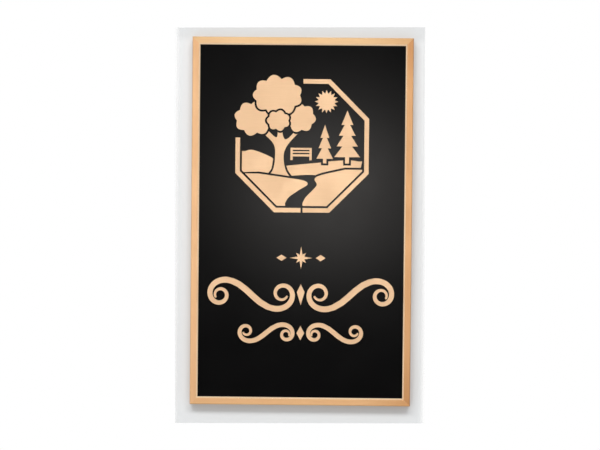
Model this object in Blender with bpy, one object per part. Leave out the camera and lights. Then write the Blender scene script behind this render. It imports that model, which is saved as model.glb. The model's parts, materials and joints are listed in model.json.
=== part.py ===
"""Framed wall sign: mitred bronze bars round a black face panel that carries flat-cut bronze artwork.

Inside are corner brackets and two mounting rails with wall studs, closed by a back panel. The
artwork is a park landscape in an eight-sided band, with rows of plain scroll ornament below it.

+X is the viewer's right, -Y faces the viewer and +Z is up. The wall plane is Y = 0, and the origin
is the centre of the back. "Depth" is the distance in front of the wall plane. Lengths are metres.
"""

import math

import bmesh
import bpy
from mathutils import Vector

# Overall size, seen from the front
SIGN_WIDTH = 0.4572
SIGN_HEIGHT = 0.762

# Gaps between pieces
SEAT_GAP = 0.0003
PANEL_FIT = 0.0005

# Layers from the back to the front
BACK_PANEL_THICKNESS = 0.002
CAVITY_DEPTH = 0.0101
FACE_PANEL_THICKNESS = 0.003
INNER_LAND = 0.0005
INNER_BEVEL = 0.0025

# Frame bars
BACK_EDGE = 0.0025
WEB_THICKNESS = 0.011
LIP_REACH = 0.005
OUTER_EASE = 0.001

# Corner brackets
BRACKET_LEG = 0.036
BRACKET_THICKNESS = 0.003
BRACKET_SCREW_FROM_END = 0.012

# Mounting rails
RAIL_WIDTH = 0.020
RAIL_THICKNESS = 0.0025
RAIL_TO_BRACKET = 0.004

# Wall studs
STUD_FROM_SIDE = 0.0762
STUD_RADIUS = 0.003
STUD_OUT = 0.040
STUD_HEAD_FLATS = 0.010
STUD_HEAD_HEIGHT = 0.004
STUD_POINT = 0.001

# Screws and their holes
SCREW_RADIUS = 0.0015
SCREW_BITE = 0.006
SCREW_HEAD_RADIUS = 0.00275
SCREW_HEAD_HEIGHT = 0.0018
SCREW_DOME = 0.0006
COUNTERSINK_RADIUS = 0.0026
COUNTERSINK_DEPTH = 0.0012
BACK_SCREW_FROM_RAIL = 0.066
CUT_OVERRUN = 0.001

# Pins behind the artwork
PIN_RADIUS = 0.0015
PIN_TAIL = 0.001

# Artwork sizes
ART_GAP = 0.004
MEDALLION_ACROSS = 0.276
BAND_WIDTH = 0.0095
STAR_ACROSS = 0.048
STAR_SIDE_GAP = 0.006
SIDE_LOZENGE_LENGTH = 0.021
SIDE_LOZENGE_HEIGHT = 0.013
LARGE_SCROLL_MARGIN = 0.019
LARGE_STROKE = 0.013
LARGE_HAIRLINE = 0.0045
DROP_HEIGHT = 0.044
DROP_WIDTH = 0.016
SMALL_SCROLL_WIDTH = 0.118
SMALL_STROKE = 0.010
SMALL_HAIRLINE = 0.004
BEAD_HEIGHT = 0.030
BEAD_WIDTH = 0.016

# The height that the artwork leaves free is shared out above, between and below its four blocks
FREE_HEIGHT_SHARES = (25, 25, 6, 8, 40)

ROUND_SIDES = 12
PIN_SIDES = 8

# Worked out from the sizes above
HALF_WIDTH = SIGN_WIDTH / 2
HALF_HEIGHT = SIGN_HEIGHT / 2
FACE_WIDTH = WEB_THICKNESS + LIP_REACH
FIELD_WIDTH = SIGN_WIDTH - 2 * FACE_WIDTH
FIELD_HEIGHT = SIGN_HEIGHT - 2 * FACE_WIDTH
LEDGE_DEPTH = BACK_PANEL_THICKNESS + SEAT_GAP
CAVITY_FRONT = LEDGE_DEPTH + CAVITY_DEPTH
CAVITY_MIDDLE = LEDGE_DEPTH + CAVITY_DEPTH / 2
PANEL_BACK = CAVITY_FRONT + SEAT_GAP
PANEL_FRONT = PANEL_BACK + FACE_PANEL_THICKNESS
LIP_BACK = PANEL_FRONT + SEAT_GAP
SIGN_DEPTH = LIP_BACK + INNER_LAND + INNER_BEVEL
CAVITY_SIDE = HALF_WIDTH - WEB_THICKNESS
CAVITY_TOP = HALF_HEIGHT - WEB_THICKNESS
RAIL_FRONT = LEDGE_DEPTH + RAIL_THICKNESS
RAIL_SCREW_DEPTH = (RAIL_FRONT + CAVITY_FRONT) / 2
RAIL_Z = CAVITY_TOP - SEAT_GAP - BRACKET_LEG - RAIL_TO_BRACKET - RAIL_WIDTH / 2
STUD_SPACING = SIGN_WIDTH - 2 * STUD_FROM_SIDE
STUD_SEAT = RAIL_FRONT + SEAT_GAP
STUD_HOLE_RADIUS = STUD_RADIUS + SEAT_GAP
BACK_SCREW_X = HALF_WIDTH - (BACK_EDGE + WEB_THICKNESS) / 2
BACK_SCREW_Z = RAIL_Z - BACK_SCREW_FROM_RAIL
HOLE_RADIUS = SCREW_RADIUS + SEAT_GAP
LARGE_SCROLL_MIDDLE = DROP_WIDTH + 2 * ART_GAP
SMALL_SCROLL_MIDDLE = BEAD_WIDTH + 2 * ART_GAP


def clear_scene():
    for obj in list(bpy.data.objects):
        bpy.data.objects.remove(obj, do_unlink=True)


# Materials


def principled(name, colour, roughness, metallic):
    material = bpy.data.materials.new(name)
    material.use_nodes = True
    shader = material.node_tree.nodes["Principled BSDF"]
    shader.inputs["Base Color"].default_value = (*colour, 1)
    shader.inputs["Roughness"].default_value = roughness
    shader.inputs["Metallic"].default_value = metallic
    material.diffuse_color = (*colour, 1)
    return material


def satin_bronze():
    return principled("satin_bronze", (0.80, 0.56, 0.34), 0.35, 1.0)


def satin_black():
    return principled("satin_black", (0.012, 0.012, 0.013), 0.42, 0.0)


def mill_aluminium():
    return principled("mill_aluminium", (0.60, 0.61, 0.62), 0.45, 1.0)


def zinc_steel():
    return principled("zinc_steel", (0.52, 0.53, 0.55), 0.35, 1.0)


# Meshes and objects


def add_object(name, mesh, material, place=(0, 0, 0)):
    obj = bpy.data.objects.new(name, mesh)
    bpy.context.scene.collection.objects.link(obj)
    obj.location = place
    if material and not mesh.materials:
        mesh.materials.append(material)
    return obj


def finished_mesh(bm, name):
    bmesh.ops.recalc_face_normals(bm, faces=bm.faces)
    mesh = bpy.data.meshes.new(name)
    bm.to_mesh(mesh)
    bm.free()
    return mesh


def add_shell(bm, rings):
    """Joins closed rings of points one after another and caps the first and the last."""
    loops = [[bm.verts.new(point) for point in ring] for ring in rings]
    count = len(loops[0])
    for near, far in zip(loops, loops[1:]):
        for i in range(count):
            j = (i + 1) % count
            bm.faces.new((near[i], near[j], far[j], far[i]))
    bm.faces.new(loops[0])
    bm.faces.new(loops[-1])


def shell_mesh(name, rings):
    bm = bmesh.new()
    add_shell(bm, rings)
    return finished_mesh(bm, name)


def at_depth(outline, depth):
    return [(x, -depth, z) for x, z in outline]


def plate_mesh(name, outline, back, front):
    """A flat plate between two depths, from its outline seen from the front."""
    return shell_mesh(name, [at_depth(outline, back), at_depth(outline, front)])


def rectangle(half_width, half_height):
    return [
        (-half_width, -half_height),
        (half_width, -half_height),
        (half_width, half_height),
        (-half_width, half_height),
    ]


def circle(radius, sides):
    step = 2 * math.pi / sides
    return [(radius * math.cos(step * i), radius * math.sin(step * i)) for i in range(sides)]


def hexagon(flats, sides):
    """Points round a hexagon, one for each side of the round shank that it heads."""
    points = []
    for i in range(sides):
        angle = 2 * math.pi * i / sides
        from_corner = math.remainder(angle, math.pi / 3)
        reach = flats / 2 / math.cos(math.pi / 6 - abs(from_corner))
        points.append((reach * math.cos(angle), reach * math.sin(angle)))
    return points


def turned_mesh(name, steps):
    """A piece along +Z from (height, outline) steps, shaded smooth round its sides."""
    mesh = shell_mesh(name, [[(x, y, height) for x, y in outline] for height, outline in steps])
    mesh.shade_smooth()
    mesh.set_sharp_from_angle(angle=math.radians(40))
    return mesh


def turn_towards(direction):
    """The turn that makes a piece made along +Z point, with its lower end, in a direction."""
    return Vector((0, 0, -1)).rotation_difference(Vector(direction))


def aim(obj, direction):
    obj.rotation_mode = "QUATERNION"
    obj.rotation_quaternion = turn_towards(direction)


# Cutters


def as_cutter(obj):
    obj.hide_render = True
    obj.display_type = "WIRE"
    return obj


def boolean(obj, other, operation):
    modifier = obj.modifiers.new(other.name, "BOOLEAN")
    modifier.operation = operation
    modifier.object = other
    modifier.solver = "EXACT"


def drill(obj, name, holes):
    """Cuts straight holes, each given by its mouth, direction, radius and depth."""
    bm = bmesh.new()
    for mouth, direction, radius, depth in holes:
        turn = turn_towards(direction)
        rings = []
        for height in (CUT_OVERRUN, -depth):
            ring = [Vector((x, y, height)) for x, y in circle(radius, ROUND_SIDES)]
            rings.append([turn @ point + Vector(mouth) for point in ring])
        add_shell(bm, rings)
    boolean(obj, as_cutter(add_object(name, finished_mesh(bm, name), None)), "DIFFERENCE")


# Frame


def bar_profile():
    """Section of a frame bar as (distance in from the outer edge, depth) points."""
    return [
        (0, 0),
        (BACK_EDGE, 0),
        (BACK_EDGE, LEDGE_DEPTH),
        (WEB_THICKNESS, LEDGE_DEPTH),
        (WEB_THICKNESS, LIP_BACK),
        (FACE_WIDTH, LIP_BACK),
        (FACE_WIDTH, SIGN_DEPTH - INNER_BEVEL),
        (FACE_WIDTH - INNER_BEVEL, SIGN_DEPTH),
        (OUTER_EASE, SIGN_DEPTH),
        (0, SIGN_DEPTH - OUTER_EASE),
    ]


def bar_mesh(name, length):
    """A bar along X with mitred ends. Its outer edge lies on Z = 0 and it hangs below it."""
    mitre_gap = SEAT_GAP / math.sqrt(2)
    ends = []
    for side in (-1, 1):
        reach = length / 2 - mitre_gap
        ends.append([(side * (reach - inset), -depth, -inset) for inset, depth in bar_profile()])
    return shell_mesh(name, ends)


def make_frame(bronze):
    bars = {}
    for name, length, place, turn in (
        ("frame_top", SIGN_WIDTH, (0, 0, HALF_HEIGHT), 0),
        ("frame_right", SIGN_HEIGHT, (HALF_WIDTH, 0, 0), 90),
        ("frame_bottom", SIGN_WIDTH, (0, 0, -HALF_HEIGHT), 180),
        ("frame_left", SIGN_HEIGHT, (-HALF_WIDTH, 0, 0), 270),
    ):
        bar = add_object(name, bar_mesh(name, length), bronze, place)
        bar.rotation_euler = (0, math.radians(turn), 0)
        bars[name] = bar
    return bars


# Fasteners


def pan_screw_mesh(grip):
    """Pan head screw. Its seat is at the origin, and below it are the grip and the bite."""
    shank = circle(SCREW_RADIUS, ROUND_SIDES)
    head = circle(SCREW_HEAD_RADIUS, ROUND_SIDES)
    crown = circle(SCREW_HEAD_RADIUS - SCREW_DOME, ROUND_SIDES)
    return turned_mesh(
        "pan_screw",
        [
            (-(grip + SCREW_BITE), shank),
            (0, shank),
            (0, head),
            (SCREW_HEAD_HEIGHT - SCREW_DOME, head),
            (SCREW_HEAD_HEIGHT, crown),
        ],
    )


def countersunk_screw_mesh():
    """Countersunk screw. The top of its head is at the origin."""
    shank = circle(SCREW_RADIUS, ROUND_SIDES)
    head = circle(COUNTERSINK_RADIUS, ROUND_SIDES)
    return turned_mesh(
        "countersunk_screw",
        [
            (-(LEDGE_DEPTH + SCREW_BITE), shank),
            (-COUNTERSINK_DEPTH, shank),
            (0, head),
        ],
    )


def wall_stud_mesh():
    """Hexagon-headed stud. Its seat is at the origin, and its chamfered point stands out behind."""
    reach = STUD_SEAT + STUD_OUT
    shank = circle(STUD_RADIUS, ROUND_SIDES)
    point = circle(STUD_RADIUS - STUD_POINT, ROUND_SIDES)
    head = hexagon(STUD_HEAD_FLATS, ROUND_SIDES)
    return turned_mesh(
        "wall_stud",
        [
            (-reach, point),
            (-(reach - STUD_POINT), shank),
            (0, shank),
            (0, head),
            (STUD_HEAD_HEIGHT, head),
        ],
    )


# Corner brackets and their screws


def bracket_outline(side, up):
    """Outline of a bracket with its corner at the origin and its legs running away from it."""
    thick = BRACKET_THICKNESS
    legs = [
        (0, 0),
        (0, BRACKET_LEG),
        (thick, BRACKET_LEG),
        (thick, 2 * thick),
        (2 * thick, thick),
        (BRACKET_LEG, thick),
        (BRACKET_LEG, 0),
    ]
    return [(-side * x, -up * z) for x, z in legs]


def make_corners(bars, bar_holes, aluminium, steel):
    """Brackets with two screws each. Adds the screws' holes to those of the bars."""
    grip = BRACKET_THICKNESS + 2 * SEAT_GAP
    screw = pan_screw_mesh(grip)
    corner_x = CAVITY_SIDE - SEAT_GAP
    corner_z = CAVITY_TOP - SEAT_GAP
    seat = BRACKET_THICKNESS + SEAT_GAP
    along = BRACKET_LEG - BRACKET_SCREW_FROM_END
    for level, up in (("top", 1), ("bottom", -1)):
        for hand, side in (("left", -1), ("right", 1)):
            name = f"corner_bracket_{level}_{hand}"
            mesh = plate_mesh(name, bracket_outline(side, up), LEDGE_DEPTH, CAVITY_FRONT)
            bracket = add_object(name, mesh, aluminium, (side * corner_x, 0, up * corner_z))
            holes = []
            for tag, x, z, direction, bar_name in (
                ("side", corner_x - seat, corner_z - along, (side, 0, 0), f"frame_{hand}"),
                ("end", corner_x - along, corner_z - seat, (0, 0, up), f"frame_{level}"),
            ):
                place = (side * x, -CAVITY_MIDDLE, up * z)
                aim(add_object(f"bracket_screw_{level}_{hand}_{tag}", screw, steel, place), direction)
                hole = (place, direction, HOLE_RADIUS, grip + SCREW_BITE + CUT_OVERRUN)
                holes.append(hole)
                bar_holes[bar_name].append(hole)
            drill(bracket, f"{name}_holes", holes)


# Mounting rails, their screws and the wall studs


def rail_outline():
    """A strip along the back of the cavity, its ends bent forward, as (x, depth) points."""
    end = CAVITY_SIDE - SEAT_GAP
    inner = end - RAIL_THICKNESS
    return [
        (-end, LEDGE_DEPTH),
        (end, LEDGE_DEPTH),
        (end, CAVITY_FRONT),
        (inner, CAVITY_FRONT),
        (inner, RAIL_FRONT),
        (-inner, RAIL_FRONT),
        (-inner, CAVITY_FRONT),
        (-end, CAVITY_FRONT),
    ]


def rail_mesh(name):
    half = RAIL_WIDTH / 2
    return shell_mesh(name, [[(x, -depth, z) for x, depth in rail_outline()] for z in (-half, half)])


def make_rails(bar_holes, steel):
    """Rails with a screw at each end and two studs each. Adds the screws' holes to the bars'."""
    grip = RAIL_THICKNESS + 2 * SEAT_GAP
    screw = pan_screw_mesh(grip)
    stud = wall_stud_mesh()
    seat_x = CAVITY_SIDE - grip
    for level, up in (("upper", 1), ("lower", -1)):
        z = up * RAIL_Z
        name = f"mounting_rail_{level}"
        rail = add_object(name, rail_mesh(name), steel, (0, 0, z))
        holes = []
        for hand, side in (("left", -1), ("right", 1)):
            outward = (side, 0, 0)
            place = (side * seat_x, -RAIL_SCREW_DEPTH, z)
            aim(add_object(f"rail_screw_{level}_{hand}", screw, steel, place), outward)
            hole = (place, outward, HOLE_RADIUS, grip + SCREW_BITE + CUT_OVERRUN)
            holes.append(hole)
            bar_holes[f"frame_{hand}"].append(hole)
            place = (side * STUD_SPACING / 2, -STUD_SEAT, z)
            aim(add_object(f"wall_stud_{level}_{hand}", stud, steel, place), (0, 1, 0))
            holes.append((place, (0, 1, 0), STUD_HOLE_RADIUS, STUD_SEAT))
        drill(rail, f"{name}_holes", holes)


# Back panel and its screws


def countersink(obj, name, places):
    """Cuts countersunk screw holes through the back panel."""
    bm = bmesh.new()
    spread = (COUNTERSINK_RADIUS - SCREW_RADIUS) / COUNTERSINK_DEPTH
    mouth = COUNTERSINK_RADIUS + SEAT_GAP
    for x, z in places:
        rings = []
        for depth, radius in (
            (-CUT_OVERRUN, mouth + spread * CUT_OVERRUN),
            (COUNTERSINK_DEPTH, HOLE_RADIUS),
            (BACK_PANEL_THICKNESS + CUT_OVERRUN, HOLE_RADIUS),
        ):
            rings.append(at_depth(shifted(circle(radius, ROUND_SIDES), x, z), depth))
        add_shell(bm, rings)
    boolean(obj, as_cutter(add_object(name, finished_mesh(bm, name), None)), "DIFFERENCE")


def make_back_panel(bar_holes, aluminium, steel):
    half_width = HALF_WIDTH - BACK_EDGE - PANEL_FIT
    half_height = HALF_HEIGHT - BACK_EDGE - PANEL_FIT
    mesh = plate_mesh("back_panel", rectangle(half_width, half_height), 0, BACK_PANEL_THICKNESS)
    panel = add_object("back_panel", mesh, aluminium)
    screw = countersunk_screw_mesh()
    inward = (0, -1, 0)
    screw_places = []
    for hand, side in (("left", -1), ("right", 1)):
        for level, z in (("upper", BACK_SCREW_Z), ("middle", 0), ("lower", -BACK_SCREW_Z)):
            place = (side * BACK_SCREW_X, 0, z)
            aim(add_object(f"back_screw_{hand}_{level}", screw, steel, place), inward)
            screw_places.append((place[0], z))
            hole = (place, inward, HOLE_RADIUS, LEDGE_DEPTH + SCREW_BITE + CUT_OVERRUN)
            bar_holes[f"frame_{hand}"].append(hole)
    countersink(panel, "back_screw_holes", screw_places)
    stud_holes = []
    for z in (RAIL_Z, -RAIL_Z):
        for x in (STUD_SPACING / 2, -STUD_SPACING / 2):
            hole_length = BACK_PANEL_THICKNESS + CUT_OVERRUN
            stud_holes.append(((x, 0, z), inward, STUD_HOLE_RADIUS, hole_length))
    drill(panel, "back_stud_holes", stud_holes)


# Drawing: outlines are lists of (x, z) points seen from the front


def scaled(points, factor):
    return [(x * factor, z * factor) for x, z in points]


def shifted(points, dx, dz):
    return [(x + dx, z + dz) for x, z in points]


def flipped(points):
    return [(-x, z) for x, z in points][::-1]


def smooth(points, steps=6):
    """Points along a smooth curve through the given ones."""
    curve = []
    last = len(points) - 1
    for i in range(last):
        nearby = (points[max(i - 1, 0)], points[i], points[i + 1], points[min(i + 2, last)])
        for j in range(steps):
            t = j / steps
            curve.append(tuple(spline(t, *values) for values in zip(*nearby)))
    curve.append(points[-1])
    return curve


def spline(t, a, b, c, d):
    """Value at a share t of the way from b to c, on a curve that also heeds a and d."""
    return b + 0.5 * t * (c - a + t * (2 * a - 5 * b + 4 * c - d + t * (3 * b - a - 3 * c + d)))


def grown(outline, gap):
    """The outline moved outwards by a gap, corner by corner."""
    count = len(outline)
    doubled_area = sum(outline[i - 1][0] * z - x * outline[i - 1][1] for i, (x, z) in enumerate(outline))
    outward = math.copysign(gap, doubled_area)
    result = []
    for i in range(count):
        ax, az = outline[i - 1]
        bx, bz = outline[i]
        cx, cz = outline[(i + 1) % count]
        before = Vector((bz - az, ax - bx)).normalized()
        after = Vector((cz - bz, bx - cx)).normalized()
        middle = before + after
        stretch = outward * 2 / max(middle.length_squared, 1)
        result.append((bx + middle.x * stretch, bz + middle.y * stretch))
    return result


def extent(outline):
    """Width, height and middle of an outline."""
    xs = [x for x, _ in outline]
    zs = [z for _, z in outline]
    middle = ((min(xs) + max(xs)) / 2, (min(zs) + max(zs)) / 2)
    return max(xs) - min(xs), max(zs) - min(zs), middle


def mean(points):
    """The mean of some points, such as the corners of a bar."""
    return (sum(x for x, _ in points) / len(points), sum(z for _, z in points) / len(points))


def octagon(across):
    """Corners of an upright octagon, the first at the right just above the middle."""
    reach = across / 2 / math.cos(math.pi / 8)
    angles = [math.pi / 8 * (2 * i + 1) for i in range(8)]
    return [(reach * math.cos(angle), reach * math.sin(angle)) for angle in angles]


def foliage(centre, reach, lobes, start, bulge=0.34, steps=6):
    """A leafy clump: an oval whose edge is a run of rounded lobes."""
    corners = []
    for i in range(lobes):
        angle = math.radians(start) + 2 * math.pi * i / lobes
        corners.append((centre[0] + reach[0] * math.cos(angle), centre[1] + reach[1] * math.sin(angle)))
    outline = []
    for i in range(lobes):
        ax, az = corners[i]
        dx = corners[(i + 1) % lobes][0] - ax
        dz = corners[(i + 1) % lobes][1] - az
        for j in range(steps):
            t = j / steps
            rise = bulge * 4 * t * (1 - t)
            outline.append((ax + dx * t + dz * rise, az + dz * t - dx * rise))
    return outline


def star(across, points, waist, short=1.0):
    """A star. Every second point is cut to a share, and the waists lie between the points."""
    outline = []
    for i in range(2 * points):
        share = waist if i % 2 else (short if i % 4 else 1.0)
        angle = math.pi * i / points
        outline.append((across / 2 * share * math.cos(angle), across / 2 * share * math.sin(angle)))
    return outline


def lozenge(width, height, lift=0.0):
    """A four-sided diamond, its widest level lifted by a share of its height."""
    return [(0, -height / 2), (width / 2, lift * height), (0, height / 2), (-width / 2, lift * height)]


def conifer(x, base, top, half, tiers):
    """A fir: a short stem under saw-edged tiers that narrow to a point."""
    stem_half = half * 0.06 + 1.8
    stem_top = base + 0.12 * (top - base)
    tier_height = (top - stem_top) * 0.92 / tiers
    right = [(stem_half, base), (stem_half, stem_top)]
    for tier in range(tiers):
        right.append((half * (1 - 0.72 * tier / tiers), stem_top + tier * tier_height))
        if tier < tiers - 1:
            next_half = half * (1 - 0.72 * (tier + 1) / tiers)
            right.append((0.46 * next_half, stem_top + (tier + 1) * tier_height))
    left = [(-dx, z) for dx, z in right[::-1]]
    return [(x + dx, z) for dx, z in right + [(0, top)] + left]


# Scroll strokes


def scroll_line(start_turn, end_turn, slope, grip=2.6, steps=600):
    """Centre line of an S-scroll of length 1, as (share of its length, x, z) points.

    Its curvature grows as a power of the distance from the far end, so both ends roll up into
    volutes. The turns are in degrees, and the slope is the line's direction at its middle.
    """
    start_bend = math.radians(start_turn) * (grip + 1)
    end_bend = math.radians(end_turn) * (grip + 1)
    far_share = 0.5 ** (grip + 1)
    heading = math.radians(slope - start_turn * (1 - far_share) - end_turn * far_share)
    x = 0.0
    z = 0.0
    line = [(0.0, x, z)]
    for i in range(steps):
        t = (i + 0.5) / steps
        heading += (start_bend * (1 - t) ** grip + end_bend * t**grip) / steps
        x += math.cos(heading) / steps
        z += math.sin(heading) / steps
        line.append(((i + 1) / steps, x, z))
    return line


def step_heading(line, i):
    """Direction, as an angle, of the step after point i of a line."""
    return math.atan2(line[i + 1][2] - line[i][2], line[i + 1][1] - line[i][1])


def thinned(line, most_turn=13, longest=0.045):
    """Keeps only the points of a line that its bends need."""
    kept = [0]
    for i in range(1, len(line) - 1):
        turned = math.remainder(step_heading(line, i) - step_heading(line, kept[-1]), 2 * math.pi)
        if abs(turned) >= math.radians(most_turn) or line[i][0] - line[kept[-1]][0] >= longest:
            kept.append(i)
    return [line[i] for i in kept] + [line[-1]]


def stroke_outline(line, length, thick, thin):
    """Outline of a stroke along a line of length 1: thick at its middle, with round thin ends."""
    left = []
    right = []
    for i, (t, x, z) in enumerate(line):
        _, ax, az = line[max(i - 1, 0)]
        _, bx, bz = line[min(i + 1, len(line) - 1)]
        along = Vector((bx - ax, bz - az)).normalized()
        half = (thin + (thick - thin) * math.sin(math.pi * t) ** 0.9) / 2
        left.append((x * length - along.y * half, z * length + along.x * half))
        right.append((x * length + along.y * half, z * length - along.x * half))
    return left + end_round(left[-1], right[-1]) + right[::-1] + end_round(right[0], left[0])


def end_round(start, end, steps=5):
    """Points between the two sides of a stroke's end, on a half round turning clockwise."""
    middle_x = (start[0] + end[0]) / 2
    middle_z = (start[1] + end[1]) / 2
    radius = math.dist(start, end) / 2
    first = math.atan2(start[1] - middle_z, start[0] - middle_x)
    angles = [first - math.pi * i / steps for i in range(1, steps)]
    return [(middle_x + radius * math.cos(a), middle_z + radius * math.sin(a)) for a in angles]


def scroll_piece(width, thick, thin, turns, slope, pin_shares):
    """Outline, pin places and height of an S-scroll of a given overall width, centred on 0, 0."""
    line = thinned(scroll_line(*turns, slope))
    length = width
    for _ in range(6):
        length *= width / extent(stroke_outline(line, length, thick, thin))[0]
    outline = stroke_outline(line, length, thick, thin)
    _, height, middle = extent(outline)
    pins = []
    for share in pin_shares:
        _, x, z = min(line, key=lambda point: abs(point[0] - share))
        pins.append((x * length - middle[0], z * length - middle[1]))
    return shifted(outline, -middle[0], -middle[1]), pins, height


# Artwork


class Artwork:
    """Makes flat-cut pieces with pins, and keeps the places of the pins for the face panel."""

    def __init__(self, bronze):
        self.bronze = bronze
        self.pins = []

    def piece(self, name, outline, pins, place, cut_by=()):
        """A plate seated on the face panel, cleared by a gap round each outline in cut_by."""
        root = (LIP_BACK + SIGN_DEPTH) / 2
        location = (place[0], 0, place[1])
        plate = add_object(name, plate_mesh(name, outline, LIP_BACK, SIGN_DEPTH), self.bronze, location)
        for i, other in enumerate(cut_by):
            self.clear(plate, grown(other, ART_GAP), f"{name}_clearance_{i + 1}")
        for i, (x, z) in enumerate(pins):
            ring = shifted(circle(PIN_RADIUS, PIN_SIDES), x, z)
            pin_name = f"{name}_pin_{i + 1}"
            mesh = plate_mesh(pin_name, ring, PANEL_BACK - PIN_TAIL, root)
            boolean(plate, as_cutter(add_object(pin_name, mesh, None, location)), "UNION")
            self.pins.append((place[0] + x, place[1] + z))
        return plate

    def clear(self, plate, outline, name):
        """Cuts an outline right through a plate."""
        mesh = plate_mesh(name, outline, LIP_BACK - CUT_OVERRUN, SIGN_DEPTH + CUT_OVERRUN)
        boolean(plate, as_cutter(add_object(name, mesh, None, plate.location)), "DIFFERENCE")


# Medallion: its pieces are drawn in hundredths of its half width, from its centre


def drawn(points):
    return scaled(points, MEDALLION_ACROSS / 200)


def make_crown(art, place):
    """Four clumps of foliage, each cleared round those in front of it."""
    front = drawn(foliage((-36, 37.5), (15, 12.5), 7, 0))
    top = drawn(foliage((-37.5, 75.5), (33.5, 24.5), 9, 0))
    left = drawn(foliage((-72.5, 40.5), (26, 21.5), 8, 10))
    right = drawn(foliage((-3.5, 42), (20.5, 18), 7, 20))
    art.piece("crown_front", front, drawn([(-42, 37.5), (-30.5, 37.5)]), place)
    art.piece("crown_top", top, drawn([(-53.5, 77), (-21.5, 77)]), place, [front])
    art.piece("crown_left", left, drawn([(-84, 39), (-64, 36)]), place, [top, front])
    art.piece("crown_right", right, drawn([(-6, 35), (6, 45)]), place, [top, front])
    return {"front": front, "top": top, "left": left, "right": right}


def make_trunk(art, place, crown, lawn):
    trunk = drawn(
        smooth([(-53.5, -48), (-43.5, -36), (-40.5, -14.5), (-43.5, 3), (-61, 20.5)])
        + smooth([(-55, 26), (-40.5, 13), (-37, 17.5), (-38.5, 36)])
        + smooth([(-31, 36), (-29, 16), (-23, 10), (-8.5, 24.5)])
        + smooth([(-4.5, 20.5), (-21.5, 1.5), (-27.5, -14.5), (-24.5, -36), (-14.5, -50.5)])
    )
    art.piece("tree_trunk", trunk, drawn([(-34, -26), (-33.5, 1.5)]), place, [*crown.values(), lawn])
    return trunk


def on_lower_left(window, z):
    """The point at a level on the lower left side of an octagon."""
    return (sum(window[5]) - z, z)


def make_lawns(art, place, window):
    """Two lawns that fill the foot of the window, with a winding path left bare between them."""
    bank = [(-21.5, -48), (3, -52), (8.5, -58), (-4.5, -66.5), (-19, -77), (-24.5, -85.5)]
    left = drawn(smooth(bank))
    shoulder = drawn([(-65, -42)])[0]
    left += [(left[-1][0], window[5][1]), window[5], on_lower_left(window, shoulder[1]), shoulder]
    bank = [(1.5, -85.5), (6, -77), (16, -66.5), (22.5, -58), (19, -49.5), (29, -43.5), (65, -35)]
    right = drawn(smooth(bank))
    right = [(right[0][0], window[6][1]), *right, (window[7][0], right[-1][1]), window[7], window[6]]
    art.piece("lawn_left", left, drawn([(-61, -55), (-36, -72.5)]), place)
    art.piece("lawn_right", right, drawn([(35, -61), (64, -48)]), place)
    return left, right


def make_conifers(art, place):
    small = drawn(conifer(34, -26, 32, 12.5, 3))
    tall = drawn(conifer(67.5, -26, 53.5, 19.5, 4))
    art.piece("small_conifer", small, drawn([(34, -10), (34, 8.5)]), place)
    art.piece("tall_conifer", tall, drawn([(67.5, -10), (67.5, 21.5)]), place)
    return small, tall


def make_bench(art, place):
    """A bench seen from the front: two posts, a seat and two back rails with slots between them."""
    left = -17.5
    right = 14.5
    post = 3.5
    top = -3
    seat = -16
    feet = -21.5
    outline = [(left, feet), (left, top), (right, top), (right, feet)]
    outline += [(right - post, feet), (right - post, seat), (left + post, seat), (left + post, feet)]
    outline = drawn(outline)
    pin_level = (top + seat) / 2
    pins = drawn([(left + post / 2, pin_level), (right - post / 2, pin_level)])
    bench = art.piece("park_bench", outline, pins, place)
    for i, low in enumerate((-8, -12.5)):
        slot = [(left + post, low), (right - post, low), (right - post, low + 2), (left + post, low + 2)]
        art.clear(bench, drawn(slot), f"park_bench_slot_{i + 1}")
    return outline


def make_hills(art, place, window, trunk, lawns, standing):
    """Hills behind the trees, cleared round all that stands in front of them."""
    left = drawn(smooth([(-33.5, -33.5), (-43.5, -19), (-72.5, -7), (-85.5, -8.5)]))
    left += [(window[4][0], left[-1][1]), window[4], on_lower_left(window, lawns[0][-1][1])]
    left += drawn([(-33.5, -54.5)])
    ridge = [(-33.5, -31), (-5, -28), (20, -25.5), (45, -22.5), (71, -21), (84, -22.5)]
    right = drawn([(-33.5, -45)] + smooth(ridge))
    right += [(window[7][0], right[-1][1])]
    right += drawn(smooth([(85.5, -43.5), (43.5, -46.5), (14.5, -43.5), (-14.5, -45)]))
    pins = drawn([(-81, -23), (-59.5, -24.5)])
    art.piece("far_hill_left", left, pins, place, [trunk, lawns[0]])
    pins = drawn([(-11.5, -36), (50.5, -29)])
    art.piece("far_hill_right", right, pins, place, [trunk, *lawns, *standing])


def make_sun(art, place):
    centre = drawn([(36, 66.5)])[0]
    outline = shifted(drawn(star(35, 16, 0.69)), *centre)
    art.piece("sunburst", outline, shifted(drawn([(-4, 0), (4, 0)]), *centre), place)


def make_band(art, place, crown):
    """The eight-sided band in two pieces that meet at the foot and stop short of the crown."""
    outer = octagon(MEDALLION_ACROSS)
    inner = octagon(MEDALLION_ACROSS - 2 * BAND_WIDTH)
    sides = [mean([outer[i - 1], outer[i], inner[i - 1], inner[i]]) for i in range(8)]
    split = ART_GAP / 2
    end = min(z for _, z in crown["left"]) - ART_GAP
    outline = [(-split, outer[5][1]), outer[5], outer[4], (outer[4][0], end)]
    outline += [(inner[4][0], end), inner[4], inner[5], (-split, inner[5][1])]
    pins = [sides[5], (sides[4][0], (outer[4][1] + end) / 2)]
    art.piece("medallion_band_left", outline, pins, place)
    end = max(x for x, _ in crown["top"]) + ART_GAP
    outline = [(split, outer[6][1]), outer[6], outer[7], outer[0], outer[1], (end, outer[1][1])]
    outline += [(end, inner[1][1]), inner[1], inner[0], inner[7], inner[6], (split, inner[6][1])]
    art.piece("medallion_band_right", outline, [sides[7], sides[0], sides[1]], place)


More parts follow.
